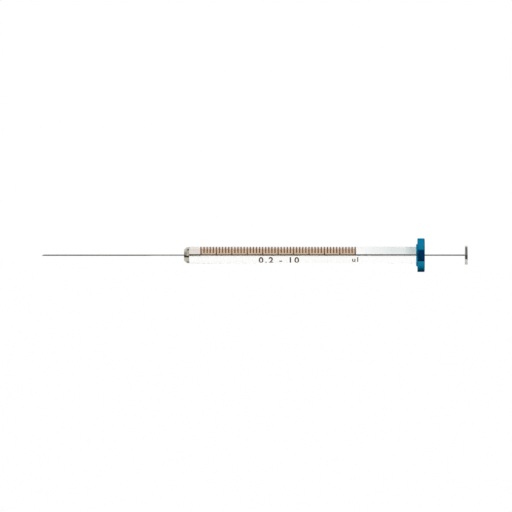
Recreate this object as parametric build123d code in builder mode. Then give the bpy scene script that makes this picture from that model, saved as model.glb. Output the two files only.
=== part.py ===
"""Ten-microlitre syringe with a cemented needle, in millimetres.

The barrel's axis is X, pointing from the needle to the plunger, and the origin is the middle
of the hub's front face, where the needle leaves it. Z is up. The syringe lies on its side, on
the hub end and on one of the flange's flats, with the scale on the upper front of the glass.
"""
import os
from math import cos, radians, sin, tan

from build123d import *

# Needle: a drawn steel tube with a short bevel
needle_diameter = 0.474
needle_bore_diameter = 0.127
needle_exposed_length = 50.0
needle_bevel_angle = 30.0

# Bore and scale: the scale's length holds the rated volume in the bore
bore_diameter = 0.485
scale_start = 5.97  # from the hub's face to the zero mark, where the needle ends inside the glass
scale_length = 54.1
scale_divisions = 50
divisions_per_long_mark = 5
mark_width = 0.42
mark_thickness = 0.02
mark_foot_angle = 14.0  # round the glass, from the side that faces front
long_mark_foot_angle = 2.0
mark_top_angle = 84.0

# Hub: a plated cap cemented over the nose of the glass
hub_diameter = 5.7
hub_length = 1.8
hub_face_wall = 0.5
hub_skirt_wall = 0.45
hub_chamfer_length = 1.0
hub_chamfer_depth = 0.85
hub_edge_round = 0.12
needle_hole_diameter = 0.9
cement_film = 0.05

# Glass barrel
barrel_diameter = 5.9
barrel_edge_round = 0.15
lead_in_diameter = 1.6
lead_in_length = 1.1

# Flange: a turned disc with flats on its rim
flange_diameter = 12.4
flange_across_flats = 11.8
flange_flats = 4
flange_thickness = 3.0
flange_front = 81.45  # from the hub's face
flange_boss_diameter = 7.4
flange_boss_height = 0.45
flange_rim_round = 0.35
flange_lip_wall = 0.6
flange_lip_hole_diameter = 3.6

# Plunger: a steel wire with a disc on its end
plunger_clearance = 0.011
plunger_tip_gap = 0.03
plunger_exposed_length = 14.1  # from the flange's back face to the button
button_diameter = 6.8
button_thickness = 1.0
button_edge_round = 0.15
button_recess_diameter = 1.6
button_recess_depth = 0.3

# Sizes that follow
needle_radius = needle_diameter / 2
bore_radius = bore_diameter / 2
barrel_radius = barrel_diameter / 2
hub_radius = hub_diameter / 2
flange_radius = flange_diameter / 2
plunger_radius = bore_radius - plunger_clearance
hub_socket_radius = hub_radius - hub_skirt_wall
nose_radius = hub_socket_radius - cement_film
scale_pitch = scale_length / scale_divisions
flange_back = flange_front + flange_thickness
barrel_end = flange_back - flange_lip_wall
button_front = flange_back + plunger_exposed_length
button_back = button_front + button_thickness

os.makedirs("parts", exist_ok=True)


def ring(outer, inner):
    """An annulus about the origin, from its two radii."""
    Circle(outer)
    Circle(inner, mode=Mode.SUBTRACT)


# Needle: runs through the hub's face and into the bore, up to the zero mark. The bevel faces up.
needle_tip = -needle_exposed_length
needle_run = scale_start - needle_tip
with BuildPart() as needle:
    with BuildSketch(Plane.YZ.offset(needle_tip)):
        ring(needle_radius, needle_bore_diameter / 2)
    extrude(amount=needle_run)
    bevel_length = needle_diameter / tan(radians(needle_bevel_angle))
    with BuildSketch(Plane.XZ):
        with BuildLine():
            Polyline(
                (needle_tip, -needle_radius),
                (needle_tip + bevel_length, needle_radius),
                (needle_tip, needle_radius),
                close=True,
            )
        make_face()
    extrude(amount=needle_radius, both=True, mode=Mode.SUBTRACT)
needle.part.label = "needle"
export_step(needle.part, "parts/needle.step")

# Hub cap: a turned cup with a coned front corner
with BuildPart() as hub_cap:
    with BuildSketch(Plane.XZ):
        with BuildLine():
            Polyline(
                (0, needle_hole_diameter / 2),
                (0, hub_radius - hub_chamfer_depth),
                (hub_chamfer_length, hub_radius),
                (hub_length, hub_radius),
                (hub_length, hub_socket_radius),
                (hub_face_wall, hub_socket_radius),
                (hub_face_wall, needle_hole_diameter / 2),
                close=True,
            )
        make_face()
    revolve(axis=Axis.X)
    cone = hub_cap.faces().filter_by(GeomType.CONE)
    fillet(cone.edges().filter_by(GeomType.CIRCLE), hub_edge_round)
hub_cap.part.label = "hub_cap"
export_step(hub_cap.part, "parts/hub_cap.step")

# Needle cement: the ring that holds the needle in the hub's hole
with BuildPart() as needle_cement:
    with BuildSketch(Plane.YZ):
        ring(needle_hole_diameter / 2, needle_radius)
    extrude(amount=hub_face_wall)
needle_cement.part.label = "needle_cement"
export_step(needle_cement.part, "parts/needle_cement.step")

# Barrel: thick-walled capillary with a nose in the hub and a funnel at the plunger's end
nose_front = hub_face_wall + cement_film
with BuildPart() as barrel:
    with BuildSketch(Plane.XZ):
        with BuildLine():
            Polyline(
                (nose_front, bore_radius),
                (nose_front, nose_radius),
                (hub_length, nose_radius),
                (hub_length, barrel_radius),
                (barrel_end, barrel_radius),
                (barrel_end, lead_in_diameter / 2),
                (barrel_end - lead_in_length, bore_radius),
                close=True,
            )
        make_face()
    revolve(axis=Axis.X)
    glass_wall = barrel.faces().filter_by(GeomType.CYLINDER).sort_by(SortBy.AREA)[-1]
    shoulder_rim = glass_wall.edges().filter_by(GeomType.CIRCLE).sort_by(Axis.X)[0]
    fillet(shoulder_rim, barrel_edge_round)
barrel.part.label = "barrel"
export_step(barrel.part, "parts/barrel.step")

# Hub cement: the film between the nose of the glass and the cap, round its side and its end
with BuildPart() as hub_cement:
    with BuildSketch(Plane.YZ.offset(hub_face_wall)):
        ring(hub_socket_radius, nose_radius)
    extrude(amount=hub_length - hub_face_wall)
    with BuildSketch(Plane.YZ.offset(hub_face_wall)):
        ring(nose_radius, needle_radius)
    extrude(amount=cement_film)
hub_cement.part.label = "hub_cement"
export_step(hub_cement.part, "parts/hub_cement.step")


def glass_point(radius, angle):
    """A point round the barrel, as (Y, Z), with 0 degrees facing front and 90 degrees on top."""
    return (-radius * cos(radians(angle)), radius * sin(radians(angle)))


# Scale marks: thin strips of fired enamel that hug the glass
mark_radius = barrel_radius + mark_thickness
with BuildPart() as scale_marks:
    for mark in range(scale_divisions + 1):
        is_long = mark % divisions_per_long_mark == 0
        foot = long_mark_foot_angle if is_long else mark_foot_angle
        middle = (foot + mark_top_angle) / 2
        mark_start = scale_start + mark * scale_pitch - mark_width / 2
        with BuildSketch(Plane.YZ.offset(mark_start)):
            with BuildLine():
                ThreePointArc(
                    glass_point(barrel_radius, foot),
                    glass_point(barrel_radius, middle),
                    glass_point(barrel_radius, mark_top_angle),
                )
                Line(
                    glass_point(barrel_radius, mark_top_angle),
                    glass_point(mark_radius, mark_top_angle),
                )
                ThreePointArc(
                    glass_point(mark_radius, mark_top_angle),
                    glass_point(mark_radius, middle),
                    glass_point(mark_radius, foot),
                )
                Line(glass_point(mark_radius, foot), glass_point(barrel_radius, foot))
            make_face()
        extrude(amount=mark_width)
scale_marks.part.label = "scale_marks"
export_step(scale_marks.part, "parts/scale_marks.step")

# Flange: seats against the end of the glass with a lip, so that it can't slide down the barrel
flange_socket_radius = barrel_radius + cement_film
rim_front = flange_front + flange_boss_height
with BuildPart() as flange:
    with BuildSketch(Plane.XZ):
        with BuildLine():
            Polyline(
                (flange_front, flange_socket_radius),
                (flange_front, flange_boss_diameter / 2),
                (rim_front, flange_boss_diameter / 2 + flange_boss_height),
                (rim_front, flange_radius),
                (flange_back, flange_radius),
                (flange_back, flange_lip_hole_diameter / 2),
                (barrel_end, flange_lip_hole_diameter / 2),
                (barrel_end, flange_socket_radius),
                close=True,
            )
        make_face()
    revolve(axis=Axis.X)
    # The flats: what lies outside the polygon is cut away
    with BuildSketch(Plane.YZ.offset(flange_front)):
        Circle(flange_diameter)
        RegularPolygon(
            flange_across_flats / 2,
            flange_flats,
            major_radius=False,
            rotation=180 / flange_flats,
            mode=Mode.SUBTRACT,
        )
    extrude(amount=flange_thickness, mode=Mode.SUBTRACT)
    back_rim = flange.faces().sort_by(Axis.X)[-1].outer_wire().edges()
    fillet(back_rim, flange_rim_round)
flange.part.label = "flange"
export_step(flange.part, "parts/flange.step")

# Flange cement: the film between the glass and the flange's socket
with BuildPart() as flange_cement:
    with BuildSketch(Plane.YZ.offset(flange_front)):
        ring(flange_socket_radius, barrel_radius)
    extrude(amount=barrel_end - flange_front)
flange_cement.part.label = "flange_cement"
export_step(flange_cement.part, "parts/flange_cement.step")

# Plunger wire: fills the bore from the needle's end and is pressed into the button
plunger_start = scale_start + plunger_tip_gap
plunger_end = button_back - button_recess_depth
with BuildPart() as plunger_wire:
    with BuildSketch(Plane.YZ.offset(plunger_start)):
        Circle(plunger_radius)
    extrude(amount=plunger_end - plunger_start)
plunger_wire.part.label = "plunger_wire"
export_step(plunger_wire.part, "parts/plunger_wire.step")

# Plunger button: a disc with rounded rims and a shallow recess round the wire's end
with BuildPart() as plunger_button:
    with BuildSketch(Plane.YZ.offset(button_front)):
        ring(button_diameter / 2, plunger_radius)
    extrude(amount=button_thickness)
    with BuildSketch(Plane.YZ.offset(plunger_end)):
        Circle(button_recess_diameter / 2)
    extrude(amount=button_recess_depth, mode=Mode.SUBTRACT)
    rims = plunger_button.edges().filter_by(GeomType.CIRCLE).group_by(SortBy.RADIUS)[-1]
    fillet(rims, button_edge_round)
plunger_button.part.label = "plunger_button"
export_step(plunger_button.part, "parts/plunger_button.step")
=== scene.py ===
"""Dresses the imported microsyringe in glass, plated and anodised metal, steel and enamel.

Lengths are in metres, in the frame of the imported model: X runs from the needle to the plunger,
the barrel's axis passes through the origin, and the front of the syringe faces -Y. The materials
measure in millimetres.
"""
from math import acos, cos, hypot, pi, radians, sin, tan

import bmesh
import bpy
from mathutils import Matrix, Vector


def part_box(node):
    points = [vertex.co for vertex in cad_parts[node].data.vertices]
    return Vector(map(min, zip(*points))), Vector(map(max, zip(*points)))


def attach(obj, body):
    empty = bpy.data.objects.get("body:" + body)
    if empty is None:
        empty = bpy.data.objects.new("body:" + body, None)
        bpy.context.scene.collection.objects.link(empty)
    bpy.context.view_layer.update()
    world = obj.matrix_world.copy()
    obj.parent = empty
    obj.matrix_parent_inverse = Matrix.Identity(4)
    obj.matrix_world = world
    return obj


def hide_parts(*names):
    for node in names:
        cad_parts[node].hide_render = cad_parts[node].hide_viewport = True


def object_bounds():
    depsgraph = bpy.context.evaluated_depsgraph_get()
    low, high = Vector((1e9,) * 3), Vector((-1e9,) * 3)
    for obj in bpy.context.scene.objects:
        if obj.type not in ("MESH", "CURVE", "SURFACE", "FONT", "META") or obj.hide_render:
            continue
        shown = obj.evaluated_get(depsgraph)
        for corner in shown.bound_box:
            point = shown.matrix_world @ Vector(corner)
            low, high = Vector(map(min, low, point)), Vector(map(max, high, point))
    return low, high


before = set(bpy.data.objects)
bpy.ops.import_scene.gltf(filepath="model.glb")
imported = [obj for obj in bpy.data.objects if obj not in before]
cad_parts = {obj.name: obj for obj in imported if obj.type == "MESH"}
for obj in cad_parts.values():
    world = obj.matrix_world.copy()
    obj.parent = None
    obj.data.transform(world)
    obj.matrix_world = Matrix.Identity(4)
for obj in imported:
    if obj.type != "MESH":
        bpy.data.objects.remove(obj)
cad_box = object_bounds()

MM = 0.001
SYRINGE, PLUNGER = "syringe", "plunger"

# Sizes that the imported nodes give
barrel_low, barrel_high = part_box("barrel")
needle_low, needle_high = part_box("needle")
flange_low, flange_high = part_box("flange")
wire_low, wire_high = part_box("plunger_wire")
button_low, button_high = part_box("plunger_button")
hub_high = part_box("hub_cap")[1]
hub_hole_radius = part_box("needle_cement")[1].y
hub_socket_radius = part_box("hub_cement")[1].y
flange_socket_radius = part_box("flange_cement")[1].y
floor_height = cad_box[0][2]

# Sizes that a box can't give
NEEDLE_BORE_RADIUS = 0.0635 * MM
NEEDLE_BEVEL = radians(30)
BORE_RADIUS = 0.2425 * MM
LEAD_IN_RADIUS = 0.8 * MM
LEAD_IN_LENGTH = 1.1 * MM
BARREL_EDGE_ROUND = 0.15 * MM
CEMENT_FILM = 0.05 * MM  # between the hub and the nose of the glass
FILM_OVERLAP = 0.001 * MM  # how far the cement round the needle's end reaches into the glass
HUB_FACE_WALL = 0.5 * MM
HUB_CHAMFER = (1.0 * MM, 0.85 * MM)  # along the axis and in radius
HUB_EDGE_ROUND = 0.12 * MM
FLANGE_RADIUS = 6.2 * MM
FLANGE_FLATS = 4
FLANGE_BOSS_RADIUS = 3.7 * MM
FLANGE_BOSS_HEIGHT = 0.45 * MM
FLANGE_BOSS_ROUND = 0.1 * MM
FLANGE_LIP_WALL = 0.6 * MM
FLANGE_LIP_HOLE_RADIUS = 1.8 * MM
FLANGE_LIP_ROUND = 0.1 * MM
FLANGE_FRONT_ROUND = 0.22 * MM
FLANGE_BACK_ROUND = 0.35 * MM
WIRE_END_ROUND = 0.03 * MM
BUTTON_RECESS_RADIUS = 0.8 * MM
BUTTON_RECESS_DEPTH = 0.3 * MM
BUTTON_EDGE_ROUND = 0.15 * MM
ENAMEL_THICKNESS = 0.02 * MM
EDGE_BREAK = 0.05 * MM  # the rounding of an edge that was only deburred
SHARP_EDGE = radians(35)

# How many segments make a full turn
BARREL_SEGMENTS = 160
CAP_SEGMENTS = 128  # the hub cap's and the button's
FLANGE_SEGMENTS = 360
WIRE_SEGMENTS = 48  # the needle's and the plunger wire's


# Meshes

def add_object(name, data):
    """An object in the scene that holds the mesh, text, lamp or camera, at the origin."""
    obj = bpy.data.objects.new(name, data)
    bpy.context.scene.collection.objects.link(obj)
    return obj


def finish_mesh(name, bm):
    """Turns a bmesh into an object with smooth faces that stay crisp at their sharp edges."""
    bmesh.ops.recalc_face_normals(bm, faces=bm.faces)
    for face in bm.faces:
        face.smooth = True
    for edge in bm.edges:
        if len(edge.link_faces) == 2:
            edge.smooth = edge.calc_face_angle() < SHARP_EDGE
    mesh = bpy.data.meshes.new(name)
    bm.to_mesh(mesh)
    bm.free()
    return add_object(name, mesh)


def rounded(corners, steps=6):
    """A closed profile of (x, r) points from corners of (x, r, rounding)."""
    points = []
    count = len(corners)
    for i, (x, r, radius) in enumerate(corners):
        if not radius:
            points.append((x, r))
            continue
        here = Vector((x, r))
        before = (Vector(corners[i - 1][:2]) - here).normalized()
        after = (Vector(corners[(i + 1) % count][:2]) - here).normalized()
        half = acos(max(-1, min(1, before.dot(after)))) / 2
        reach = radius / tan(half)
        centre = here + (before + after).normalized() * (radius / sin(half))
        start, end = here + before * reach - centre, here + after * reach - centre
        turn = start.angle_signed(end)
        for step in range(steps + 1):
            arm = start.copy()
            arm.rotate(Matrix.Rotation(-turn * step / steps, 2))
            points.append(tuple(centre + arm))
    return points


def lathe(name, profile, segments, shape=None):
    """Turns a closed (x, r) profile round X. shape(r, angle) may change a radius round the turn."""
    bm = bmesh.new()
    rings = []
    for x, r in profile:
        if r == 0:
            rings.append([bm.verts.new((x, 0, 0))])
            continue
        ring = []
        for i in range(segments):
            angle = 2 * pi * i / segments
            reach = shape(r, angle) if shape else r
            ring.append(bm.verts.new((x, reach * cos(angle), reach * sin(angle))))
        rings.append(ring)
    for near, far in zip(rings, rings[1:] + rings[:1]):
        for i in range(segments):
            j = (i + 1) % segments
            corners = [near[i % len(near)], near[j % len(near)]]
            corners += [far[j % len(far)], far[i % len(far)]]
            corners = list(dict.fromkeys(corners))  # a point on the axis counts once
            if len(corners) > 2:
                bm.faces.new(corners)
    return finish_mesh(name, bm)


# Node materials

# Colours, as linear red, green and blue
WHITE = (1.0, 1.0, 1.0)
CLEAR_GLASS, SCALE_TAN = (0.99, 0.995, 0.985), (0.395, 0.209, 0.100)
# painted shade: the grey of the glass's upper half past the scale and at the flange
PAINTED_SHADE_GREY = (0.55, 0.63, 0.63)
# the second colour darkens the bore's upper wall as painted shade
CLEAN_BORE, BORE_PAINTED_SHADE = (0.98, 0.98, 0.97), (0.08, 0.08, 0.07)
GLASS_SHADOW, BORE_SHADOW = (0.93, 0.94, 0.93), (0.97, 0.97, 0.97)
BLUE_GLOSS = (0.25, 0.45, 0.6)
# painted shade on the flange rim's rounded front and back edges
FRONT_RIM_PAINTED_SHADE, BACK_RIM_PAINTED_SHADE = (0.8, 0.8, 0.76), (0.7, 0.66, 0.62)
# the film's darker top colour is painted shade
FILM_BELOW, FILM_PAINTED_SHADE = (0.47, 0.47, 0.38), (0.016, 0.018, 0.006)

# Finishes that vary between two colours
# the flats' deeper blue is painted shade, a darker copy of the turned blue
FLAT_PAINTED_BLUE = (0.002, 0.100, 0.300), (0.002, 0.118, 0.340)
TURNED_BLUE = (0.006, 0.205, 0.365), (0.007, 0.235, 0.41)
NICKEL = (0.58, 0.575, 0.56), (0.64, 0.635, 0.62)
WARM_NICKEL = (0.51, 0.48, 0.40), (0.57, 0.54, 0.46)
NEEDLE_STEEL = (0.31, 0.305, 0.295), (0.40, 0.395, 0.385)
# painted shade: a darker copy of the needle's steel, for the wire's dark look in the bore
SHADED_WIRE_STEEL = (0.225, 0.22, 0.215), (0.30, 0.295, 0.288)
BROWN_ENAMEL = (0.078, 0.024, 0.004), (0.112, 0.037, 0.009)
AMBER_CEMENT = (0.62, 0.54, 0.38), (0.74, 0.68, 0.52)

GLASS_IOR = 1.474
WETTED_IOR = 1.108  # of glass against the liquid that wets the bore

# Where a finish fades in or out, in millimetres along X
SCALE_START_FADE, SCALE_END_FADE = (5.6, 5.9), (60.2, 60.6)
# the next line places the painted shade in the upper half of the glass
SHADE_PAST_SCALE, SHADE_AT_FLANGE = (60.6, 74), (77, 80)
# the next line places the painted shade on the upper wall of the bore
BORE_SHADE_RISE, BORE_SHADE_FALL = (60.2, 60.8), (70, 78)
# the next line places the painted shade on the rim's rounded edges
RIM_FRONT_FADE, RIM_BACK_FADE = (81.98, 82.30), (83.98, 84.25)

# Where a finish fades in or out on the flange, in millimetres from the axis
# both mark out painted shade: the rim's darker edges and the flats' deeper blue
RIM_FADE = (5.75, 5.95)
FLAT_FADE = (5.86, 5.885)  # straight across a flat


class Nodes:
    """Short ways to add and wire the nodes of a tree."""

    def __init__(self, tree):
        self.nodes, self.links = tree.nodes, tree.links

    def add(self, kind, **values):
        """A new node with these settings and sockets."""
        node = self.nodes.new("ShaderNode" + kind)
        self.set(node, **values)
        return node

    def set(self, node, **values):
        """Sets or links a node's settings and sockets. A socket goes by its name, with _ for a
        space, or by its number, as i0, i1 and so on."""
        for key, value in values.items():
            if key in node.bl_rna.properties:
                setattr(node, key, value)
                continue
            socket = node.inputs[int(key[1:]) if key[1:].isdigit() else key.replace("_", " ")]
            if isinstance(value, bpy.types.NodeSocket):
                self.links.new(value, socket)
            else:
                socket.default_value = value

    def maths(self, operation, *values):
        """The result of one operation on one or two values."""
        inputs = {f"i{i}": value for i, value in enumerate(values)}
        return self.add("Math", operation=operation, **inputs).outputs["Value"]

    def product(self, first, *others):
        """The product of several values."""
        for other in others:
            first = self.maths("MULTIPLY", first, other)
        return first

    def ramp(self, value, start, end, low, high):
        """Goes from low to high while the value goes from start to end, and stays level outside."""
        limits = {"From_Min": start, "From_Max": end, "To_Min": low, "To_Max": high}
        return self.add("MapRange", Value=value, **limits).outputs["Result"]

    def colour(self, factor, first, second, blend="MIX"):
        """A colour between two others, each of them an (r, g, b) or a socket."""
        first, second = (
            c if isinstance(c, bpy.types.NodeSocket) else (*c, 1) for c in (first, second)
        )
        mix = self.add("Mix", data_type="RGBA", blend_type=blend, i0=factor)
        self.set(mix, i6=first, i7=second)  # the node's colour inputs
        return mix.outputs[2]

    def filtered(self, first, second):
        """A colour as it looks through another."""
        return self.colour(1.0, first, second, "MULTIPLY")

    def either(self, factor, first, second):
        """The surface of the first shader node at 0, of the second at 1, a share of both between."""
        mix = self.add("MixShader", i0=factor, i1=first.outputs[0], i2=second.outputs[0])
        return mix.outputs["Shader"]

    def glow(self, level):
        """A shader node that gives off white light of this level."""
        return self.add("Emission", Color=(*WHITE, 1), Strength=level)


class Shader(Nodes):
    """A new material with one Principled shader. Places are the piece's own, in millimetres."""

    def __init__(self, name):
        self.material = bpy.data.materials.new(name)
        self.material.use_nodes = True
        super().__init__(self.material.node_tree)
        self.surface = self.nodes["Principled BSDF"]

    def stretched(self, x, y, z):
        """The place on the piece, times a factor along each axis."""
        spot = self.add("TexCoord").outputs["Object"]
        factors = (x / MM, y / MM, z / MM)
        return self.add("VectorMath", operation="MULTIPLY", i0=spot, i1=factors).outputs["Vector"]

    def place(self):
        return self.stretched(1, 1, 1)

    def axes(self):
        """The place on the piece as X, Y and Z."""
        return self.add("SeparateXYZ", Vector=self.place()).outputs

    def off_axis(self):
        """The distance from the barrel's axis."""
        across = self.stretched(0, 1, 1)
        return self.add("VectorMath", operation="LENGTH", i0=across).outputs["Value"]

    def turned(self, fineness):
        """Coordinates that change along X and outwards but not round it, as tool marks do."""
        spot = self.add("CombineXYZ", X=self.axes()["X"], Y=self.off_axis()).outputs["Vector"]
        return self.add("VectorMath", operation="SCALE", i0=spot, Scale=fineness).outputs["Vector"]

    def noise(self, vector, scale=1.0, detail=3.0):
        return self.add("TexNoise", Vector=vector, Scale=scale, Detail=detail).outputs["Fac"]

    def spread(self, noise, low, high):
        """Maps a noise's middle range to low..high."""
        return self.ramp(noise, 0.3, 0.7, low, high)

    def bump(self, height, depth):
        """Raises the surface by a height from 0 to 1, times the depth."""
        normal = self.add("Bump", Height=height, Distance=depth, Strength=1.0).outputs["Normal"]
        self.set(self.surface, Normal=normal)

    def show(self, shader):
        """Makes this shader the material's surface."""
        self.set(self.nodes["Material Output"], Surface=shader)

    def let_lamps_through(self, tint):
        """Makes the surface a clear one for lamps, so that the glass casts a pale shadow."""
        clear = self.add("BsdfTransparent", Color=(*tint, 1))
        shadow = self.add("LightPath").outputs["Is Shadow Ray"]
        self.show(self.either(shadow, self.surface, clear))


def glass_material():
    """Clear borosilicate glass with faint draw lines. Its upper front has a tan tint behind the
    scale, and painted shade greys its upper half from past the scale towards the flange."""
    shader = Shader("glass")
    x, y, z = shader.axes()
    upper = shader.ramp(z, 0.0, 0.2, 0.0, 1.0)
    below_top = shader.ramp(z, 2.1, 2.8, 1.0, 0.35)
    front = shader.ramp(y, -0.3, 0.0, 1.0, 0.0)
    from_first_mark = shader.ramp(x, *SCALE_START_FADE, 0.6, 1.0)
    to_last_mark = shader.ramp(x, *SCALE_END_FADE, 1.0, 0.0)
    # a tan tint on the glass's upper front, behind the scale's strokes
    scale_tan = shader.product(upper, below_top, front, from_first_mark, to_last_mark)
    # painted shade: the upper half greys past the scale, and more at the flange
    past_scale = shader.ramp(x, *SHADE_PAST_SCALE, 0.0, 0.42)
    at_flange = shader.ramp(x, *SHADE_AT_FLANGE, 0.0, 0.58)
    painted_shade = shader.product(upper, shader.maths("ADD", past_scale, at_flange))
    lines = shader.noise(shader.stretched(0.05, 9, 9))
    shader.set(
        shader.surface,
        Base_Color=shader.filtered(
            shader.colour(scale_tan, CLEAR_GLASS, SCALE_TAN), shader.colour(painted_shade, WHITE, PAINTED_SHADE_GREY)
        ),
        IOR=GLASS_IOR,
        Transmission_Weight=1.0,
        Roughness=shader.spread(lines, 0.0, 0.02),
    )
    shader.let_lamps_through(GLASS_SHADOW)
    return shader.material


def bore_material():
    """The upper wall of the bore: glass wetted by a thin film and darkened with painted shade,
    deepest between the scale and the flange."""
    shader = Shader("bore_wall")
    x, _, z = shader.axes()
    # painted shade: only the upper wall darkens, most between the scale and the flange
    upper = shader.ramp(z, 0.0, 0.1, 0.0, 1.0)
    past_scale = shader.ramp(x, *BORE_SHADE_RISE, 0.84, 1.0)
    before_flange = shader.ramp(x, *BORE_SHADE_FALL, 1.0, 0.84)
    bore_shade = shader.product(upper, past_scale, before_flange)
    streaks = shader.noise(shader.stretched(0.4, 12, 12))
    shader.set(
        shader.surface,
        Base_Color=shader.colour(bore_shade, CLEAN_BORE, BORE_PAINTED_SHADE),
        IOR=WETTED_IOR,
        Transmission_Weight=1.0,
        Roughness=shader.spread(streaks, 0.0, 0.03),
    )
    shader.let_lamps_through(BORE_SHADOW)
    return shader.material


def plated_material(name, shades, rough):
    """Turned and plated metal: fine rings from the tool and slight stains."""
    shader = Shader(name)
    rings = shader.noise(shader.turned(14), detail=4.0)
    stains = shader.noise(shader.place(), 0.9)
    shader.set(
        shader.surface,
        Base_Color=shader.colour(stains, *shades),
        Roughness=shader.spread(rings, *rough),
        Metallic=1.0,
    )
    shader.bump(rings, 0.004 * MM)
    return shader.material


def anodised_material():
    """Blue anodised aluminium. The flats take a deeper blue than the turned faces as painted shade,
    and painted shade darkens the rounded edges of the rim."""
    shader = Shader("blue_anodised")
    x, y, z = shader.axes()
    across = shader.maths("MAXIMUM", shader.maths("ABSOLUTE", y), shader.maths("ABSOLUTE", z))
    off_flats = shader.ramp(across, *FLAT_FADE, 1.0, 0.0)
    rim = shader.ramp(shader.off_axis(), *RIM_FADE, 0.0, 1.0)
    front_edge = shader.product(rim, shader.ramp(x, *RIM_FRONT_FADE, 1.0, 0.0))
    back_edge = shader.product(rim, shader.ramp(x, *RIM_BACK_FADE, 0.0, 1.0))
    rings = shader.noise(shader.turned(10), detail=4.0)
    clouds = shader.noise(shader.place(), 0.9)
    # painted shade: the flats' deeper blue
    painted_flat_blue = shader.colour(clouds, *FLAT_PAINTED_BLUE)
    turned = shader.colour(clouds, *TURNED_BLUE)
    # painted shade on the rim's rounded edges
    for edge, shade in ((front_edge, FRONT_RIM_PAINTED_SHADE), (back_edge, BACK_RIM_PAINTED_SHADE)):
        turned = shader.filtered(turned, shader.colour(edge, WHITE, shade))
    shader.set(
        shader.surface,
        Base_Color=shader.colour(off_flats, painted_flat_blue, turned),
        Roughness=shader.spread(rings, 0.08, 0.15),
        Metallic=1.0,
        Specular_Tint=(*BLUE_GLOSS, 1),
    )
    shader.bump(rings, 0.003 * MM)
    return shader.material


def steel_material(name, shades):
    """Drawn stainless steel: fine scratches along its length."""
    shader = Shader(name)
    lines = shader.noise(shader.stretched(0.15, 30, 30), detail=4.0)
    shader.set(
        shader.surface,
        Base_Color=shader.colour(lines, *shades),
        Roughness=shader.spread(lines, 0.22, 0.38),
        Metallic=1.0,
    )
    shader.bump(lines, 0.004 * MM)
    return shader.material


def film_material():
    """The film of cement round the needle's end in the glass, with its top darkened by painted
    shade.
    """
    shader = Shader("cemented_steel")
    _, _, z = shader.axes()
    # painted shade: the top of the film darkens
    above = shader.ramp(z, -0.06, 0.06, 0.0, 1.0)
    lines = shader.noise(shader.stretched(0.4, 20, 20), detail=4.0)
    shader.set(
        shader.surface,
        Base_Color=shader.colour(above, FILM_BELOW, FILM_PAINTED_SHADE),
        Roughness=shader.spread(lines, 0.25, 0.4),
        Specular_IOR_Level=0.1,
    )
    shader.bump(lines, 0.004 * MM)
    return shader.material


def enamel_material():
    """Brown enamel, fired on, a little uneven in tone."""
    shader = Shader("enamel")
    patches = shader.noise(shader.place(), 3.0)
    shader.set(
        shader.surface,
        Base_Color=shader.colour(patches, *BROWN_ENAMEL),
        Roughness=shader.spread(patches, 0.3, 0.45),
    )
    shader.bump(shader.noise(shader.place(), 12.0), 0.003 * MM)
    return shader.material


def cement_material():
    """Cured cement: pale amber and slightly cloudy."""
    shader = Shader("cement")
    clouds = shader.noise(shader.place(), 2.5)
    shader.set(
        shader.surface,
        Base_Color=shader.colour(clouds, *AMBER_CEMENT),
        Roughness=shader.spread(clouds, 0.25, 0.4),
    )
    shader.bump(clouds, 0.01 * MM)
    return shader.material


# Pieces

def make_barrel():
    """The glass tube: a nose in the hub, a capillary bore and a funnel for the plunger. The upper
    wall of the bore takes the second material."""
    nose_radius = hub_socket_radius - CEMENT_FILM
    nose_front, shoulder, end = barrel_low.x, hub_high.x, barrel_high.x
    radius = barrel_high.y
    profile = rounded([
        (nose_front, BORE_RADIUS, 0),
        (nose_front, nose_radius, EDGE_BREAK),
        (shoulder, nose_radius, 0),
        (shoulder, radius, BARREL_EDGE_ROUND),
        (end, radius, EDGE_BREAK),
        (end, LEAD_IN_RADIUS, EDGE_BREAK),
        (end - LEAD_IN_LENGTH, BORE_RADIUS, 0),
    ])
    tube = lathe("barrel_glass", profile, BARREL_SEGMENTS)
    for face in tube.data.polygons:
        centre = face.center
        in_bore = hypot(centre.y, centre.z) < BORE_RADIUS and abs(face.normal.x) < 0.5
        face.material_index = in_bore and centre.z > 0
    return tube


def make_hub():
    """The plated cap, with a coned front corner."""
    along, inward = HUB_CHAMFER
    back, radius = hub_high.x, hub_high.y
    profile = rounded([
        (0, hub_hole_radius, EDGE_BREAK),
        (0, radius - inward, HUB_EDGE_ROUND),
        (along, radius, HUB_EDGE_ROUND),
        (back, radius, EDGE_BREAK),
        (back, hub_socket_radius, 0),
        (HUB_FACE_WALL, hub_socket_radius, 0),
        (HUB_FACE_WALL, hub_hole_radius, 0),
    ])
    return lathe("hub", profile, CAP_SEGMENTS)


def make_needle():
    """The steel tube, cut to a bevel that faces up at its tip. Inside the glass its film of
    cement fills the bore and takes the second material."""
    radius = needle_high.y
    film_radius = BORE_RADIUS + FILM_OVERLAP
    bm = bmesh.new()

    def ring(r, x_at):
        """A ring of points, each at the X that x_at gives for its height."""
        return [
            bm.verts.new((x_at(r * sin(a)), r * cos(a), r * sin(a)))
            for a in (2 * pi * i / WIRE_SEGMENTS for i in range(WIRE_SEGMENTS))
        ]

    def bevel(z):
        return needle_low.x + (z + radius) / tan(NEEDLE_BEVEL)

    def glass_front(_):
        return barrel_low.x

    def square_end(_):
        return needle_high.x

    rings = [
        ring(radius, bevel),
        ring(radius, glass_front),
        ring(film_radius, glass_front),
        ring(film_radius, square_end),
        ring(NEEDLE_BORE_RADIUS, square_end),
        ring(NEEDLE_BORE_RADIUS, bevel),
    ]
    film_stretches = (1, 2, 3)
    for stretch, (near, far) in enumerate(zip(rings, rings[1:] + rings[:1])):
        for i in range(WIRE_SEGMENTS):
            j = (i + 1) % WIRE_SEGMENTS
            face = bm.faces.new((near[i], near[j], far[j], far[i]))
            face.material_index = stretch in film_stretches
    return finish_mesh("needle_tube", bm)


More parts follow.
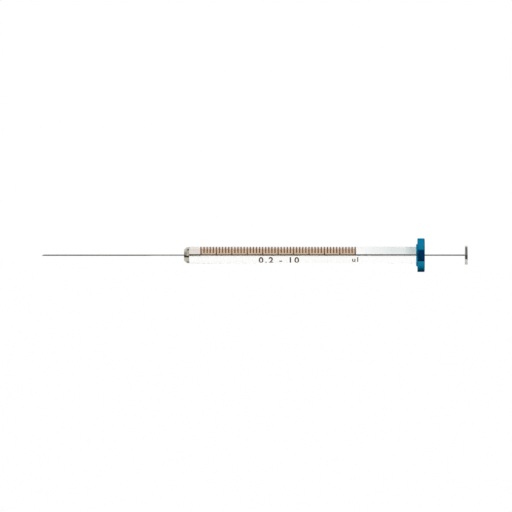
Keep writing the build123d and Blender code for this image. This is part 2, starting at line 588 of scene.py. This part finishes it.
def make_flange():
    """The anodised disc, with flats cut on its rim."""
    apothem = flange_high.z
    front, back = flange_low.x, flange_high.x
    rim_front = front + FLANGE_BOSS_HEIGHT
    seat = back - FLANGE_LIP_WALL
    profile = rounded([
        (front, flange_socket_radius, EDGE_BREAK),
        (front, FLANGE_BOSS_RADIUS, FLANGE_BOSS_ROUND),
        (rim_front, FLANGE_BOSS_RADIUS + FLANGE_BOSS_HEIGHT, FLANGE_BOSS_ROUND),
        (rim_front, FLANGE_RADIUS, FLANGE_FRONT_ROUND),
        (back, FLANGE_RADIUS, FLANGE_BACK_ROUND),
        (back, FLANGE_LIP_HOLE_RADIUS, FLANGE_LIP_ROUND),
        (seat, FLANGE_LIP_HOLE_RADIUS, 0),
        (seat, flange_socket_radius, 0),
    ])
    flat_step = 2 * pi / FLANGE_FLATS

    def with_flats(r, angle):
        """Near the rim the outline is the smaller of the circle and the flats, set in alike."""
        inset = FLANGE_RADIUS - r
        if inset > FLANGE_RADIUS / 4:
            return r
        off = (angle + flat_step / 2) % flat_step - flat_step / 2
        return min(FLANGE_RADIUS, apothem / cos(off)) - inset

    return lathe("flange_disc", profile, FLANGE_SEGMENTS, with_flats)


def make_wire():
    """The plunger's steel wire, with both ends deburred."""
    radius = wire_high.y
    profile = rounded([
        (wire_low.x, 0, 0),
        (wire_low.x, radius, WIRE_END_ROUND),
        (wire_high.x, radius, WIRE_END_ROUND),
        (wire_high.x, 0, 0),
    ], 3)
    return lathe("plunger_rod", profile, WIRE_SEGMENTS)


def make_button():
    """The plated disc, with a recess round the wire's end."""
    front, back, radius = button_low.x, button_high.x, button_high.y
    recess = back - BUTTON_RECESS_DEPTH
    profile = rounded([
        (front, wire_high.y, 0),
        (front, radius, BUTTON_EDGE_ROUND),
        (back, radius, BUTTON_EDGE_ROUND),
        (back, BUTTON_RECESS_RADIUS, EDGE_BREAK),
        (recess, BUTTON_RECESS_RADIUS, EDGE_BREAK),
        (recess, wire_high.y, 0),
    ])
    return lathe("button", profile, CAP_SEGMENTS)


CAPITAL_HEIGHT = 0.7  # of the built-in font, as a share of its size
LETTER_BOLDNESS = 0.035  # how far the outline grows, as a share of the letters' height
LETTER_SPACING = 1.3
LETTER_TOP = radians(14)  # below the front line, which is the side of the glass that faces -Y
LETTER_STRIP = 0.1 * MM  # the letters are cut into strips this high, so that they can bend
LETTER_DEPTH = 0.002 * MM  # how far they reach into the glass


def wrapped_text(name, words, left, height):
    """Letters as thin enamel on the glass. They run along X from left, below the front line."""
    curve = bpy.data.curves.new(name + "_outline", "FONT")
    curve.body = words
    curve.size = height / CAPITAL_HEIGHT
    curve.extrude = 0.5  # the wrapping below only asks which side a point is on
    curve.offset = LETTER_BOLDNESS * height
    curve.space_character = LETTER_SPACING
    curve.resolution_u = 4
    maker = add_object(name + "_outline", curve)
    evaluated = maker.evaluated_get(bpy.context.evaluated_depsgraph_get())
    mesh = bpy.data.meshes.new_from_object(evaluated)
    bpy.data.objects.remove(maker)
    bpy.data.curves.remove(curve)
    bm = bmesh.new()
    bm.from_mesh(mesh)
    bpy.data.meshes.remove(mesh)
    bmesh.ops.remove_doubles(bm, verts=bm.verts, dist=1e-7)
    cut, highest = min(v.co.y for v in bm.verts), max(v.co.y for v in bm.verts)
    while (cut := cut + LETTER_STRIP) < highest:
        bmesh.ops.bisect_plane(
            bm, geom=bm.verts[:] + bm.edges[:] + bm.faces[:],
            plane_co=(0, cut, 0), plane_no=(0, 1, 0), dist=1e-8,
        )
    sunk, proud = barrel_high.y - LETTER_DEPTH, barrel_high.y + ENAMEL_THICKNESS
    for v in bm.verts:
        angle = (v.co.y - height) / proud - LETTER_TOP
        reach = proud if v.co.z > 0 else sunk
        v.co = (left + v.co.x, -reach * cos(angle), reach * sin(angle))
    return finish_mesh(name, bm)


# The object

glass = glass_material()
nickel = plated_material("nickel", NICKEL, (0.08, 0.16))
warm_nickel = plated_material("warm_nickel", WARM_NICKEL, (0.13, 0.20))
anodised = anodised_material()
steel = steel_material("steel", NEEDLE_STEEL)
# a darker copy of the steel, as painted shade on the wire
shaded_wire_steel = steel_material("shaded_wire_steel", SHADED_WIRE_STEEL)
enamel = enamel_material()
cement = cement_material()

dressed = [
    (make_barrel(), "barrel", SYRINGE, "glass", (glass, bore_material())),
    (make_needle(), "needle", SYRINGE, "steel", (steel, film_material())),
    (make_hub(), "hub_cap", SYRINGE, "nickel", (warm_nickel,)),
    (make_flange(), "flange", SYRINGE, "blue_anodised", (anodised,)),
    (make_wire(), "plunger_wire", PLUNGER, "steel", (shaded_wire_steel,)),
    (make_button(), "plunger_button", PLUNGER, "nickel", (nickel,)),
]
for piece, node, body, slot, finishes in dressed:
    for finish in finishes:
        piece.data.materials.append(finish)
    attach(piece, body)
    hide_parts(node)

for node, finish in (
    ("scale_marks", enamel),
    ("needle_cement", cement),
    ("hub_cement", cement),
    ("flange_cement", cement),
):
    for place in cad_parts[node].material_slots:
        place.material = finish

for words in (
    wrapped_text("range_numbers", "0.2 - 10", 26.2 * MM, 2.4 * MM),
    wrapped_text("unit_letters", "ul", 58.9 * MM, 1.9 * MM),
):
    words.data.materials.append(enamel)
    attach(words, SYRINGE)


# Stage, light and camera

def stage_plane(name, near, far):
    """A rectangle on the stage, level along X, from one corner to the opposite one."""
    bm = bmesh.new()
    (x0, y0, z0), (x1, y1, z1) = near, far
    corners = [(x0, y0, z0), (x1, y0, z0), (x1, y1, z1), (x0, y1, z1)]
    bm.faces.new([bm.verts.new(corner) for corner in corners])
    plane = finish_mesh(name, bm)
    return plane


FLOOR_REACH = 6.0
FLOOR_GREY = (0.86, 0.86, 0.86)
FLOOR_WHITENESS = 0.88  # the share of plain white in what the camera sees of the floor


def floor_material():
    """A pale floor that the camera sees as nearly white, with its shadows kept."""
    shader = Shader("floor")
    grey = (*FLOOR_GREY, 1)
    shader.set(shader.surface, Base_Color=grey, Roughness=0.9, Specular_IOR_Level=0.0)
    seen = shader.product(shader.add("LightPath").outputs["Is Camera Ray"], FLOOR_WHITENESS)
    shader.show(shader.either(seen, shader.surface, shader.glow(1.0)))
    return shader.material


floor = stage_plane(
    "floor", (-FLOOR_REACH, -FLOOR_REACH, floor_height), (FLOOR_REACH, FLOOR_REACH, floor_height)
)
floor.data.materials.append(floor_material())


def painted_reflection(name, near, far, level):
    """A card of one grey level that shows only in the metal as a painted reflection, from its
    corners in millimetres.
    """
    card = stage_plane(name, Vector(near) * MM, Vector(far) * MM)
    shader = Shader(name)
    shader.show(shader.glow(level).outputs["Emission"])
    card.data.materials.append(shader.material)
    for kind in ("camera", "diffuse", "transmission", "volume_scatter", "shadow"):
        setattr(card, "visible_" + kind, False)


LOW = floor_height / MM + 0.2  # the height of the cards that lie just over the floor
# Painted reflections: dark and grey cards that only reflections show, laying dark and light bands on
# the hub, flange, button and wire.
painted_reflection("hub_card", (-1000, -45, LOW), (20, -10, LOW), 0.03)
painted_reflection("front_card", (20, -1000, LOW), (92, -10, LOW), 0.03)
painted_reflection("end_card", (92, -1000, LOW), (1000, -6.3, LOW), 0.10)
painted_reflection("hub_line", (-4, -10.8, 21.6), (6, 0.4, 22.8), 0.28)
painted_reflection("hub_shade", (-1, -1.5, LOW), (4, 3, LOW), 0.40)
painted_reflection("side_card", (-1000, -10, LOW), (-12, 4, LOW), 0.03)
painted_reflection("button_front_card", (95, -24, -0.8), (103.5, -24, 24), 0.22)
painted_reflection("button_top_card", (95, -24, 24), (103.5, 7.7, 24), 0.22)

# Grey levels of the studio by the height of a direction, from the horizon at 0 to overhead at 1
FRONT_LEVELS = [(0.0, 0.10), (0.03, 0.25), (0.07, 0.90), (0.22, 0.86), (0.4, 0.72), (1.0, 0.86)]
BACK_LEVELS = [(0.0, 1.0), (0.35, 1.0), (1.0, 0.95)]


def make_world():
    """White for the camera and through the glass. What metal reflects is white behind the
    syringe, dark low down in front of it and dimmer far to both sides."""
    world = bpy.data.worlds.new("studio")
    bpy.context.scene.world = world
    world.use_nodes = True
    tree = Nodes(world.node_tree)
    direction = tree.add("TexCoord").outputs["Generated"]
    x, y, z = tree.add("SeparateXYZ", Vector=direction).outputs

    def levels(stops):
        """A grey that runs through stops of (height, level)."""
        node = tree.add("ValToRGB", Fac=z)
        elements = node.color_ramp.elements
        elements[0].position, elements[1].position = stops[0][0], stops[-1][0]
        for position, _ in stops[1:-1]:
            elements.new(position)
        for element, (_, level) in zip(elements, stops):
            element.color = (level, level, level, 1)
        return node.outputs["Color"]

    behind = tree.ramp(y, -0.1, 0.3, 0.0, 1.0)
    grey = tree.colour(behind, levels(FRONT_LEVELS), levels(BACK_LEVELS))
    strength = tree.ramp(tree.maths("ABSOLUTE", x), 0.8, 0.95, 1.0, 0.55)
    room = tree.nodes["Background"]
    tree.set(room, Color=grey, Strength=strength)
    white = tree.add("Background", Color=(*WHITE, 1))
    path = tree.add("LightPath").outputs
    seen = tree.maths("MAXIMUM", path["Is Camera Ray"], path["Is Transmission Ray"])
    tree.set(tree.nodes["World Output"], Surface=tree.either(seen, room, white))


def add_soft_sun(name, towards, spread, strength):
    """A wide soft light from one direction, which is level over the whole floor."""
    light = bpy.data.lights.new(name, "SUN")
    light.angle, light.energy = spread, strength
    lamp = add_object(name, light)
    lamp.rotation_euler = Vector(towards).to_track_quat("-Z", "Y").to_euler()
    lamp.visible_glossy = False


make_world()
add_soft_sun("key", (0.1, 0.15, -0.95), radians(50), 0.9)

PIXEL = 0.351 * MM  # what one pixel of the picture spans at the syringe
HUB_PIXEL = (184.0, 255.15)  # where the origin lies in the picture
PICTURE = 512
DISTANCE = 4.0

camera_data = bpy.data.cameras.new("camera")
camera_data.sensor_width = 36.0
camera_data.lens = camera_data.sensor_width * DISTANCE / (PICTURE * PIXEL)
camera = add_object("camera", camera_data)
camera.location = (
    (PICTURE / 2 - HUB_PIXEL[0]) * PIXEL,
    -DISTANCE,
    (HUB_PIXEL[1] - PICTURE / 2) * PIXEL,
)
camera.rotation_euler = (pi / 2, 0, 0)
bpy.context.scene.camera = camera
bpy.context.scene.view_settings.view_transform = "Standard"
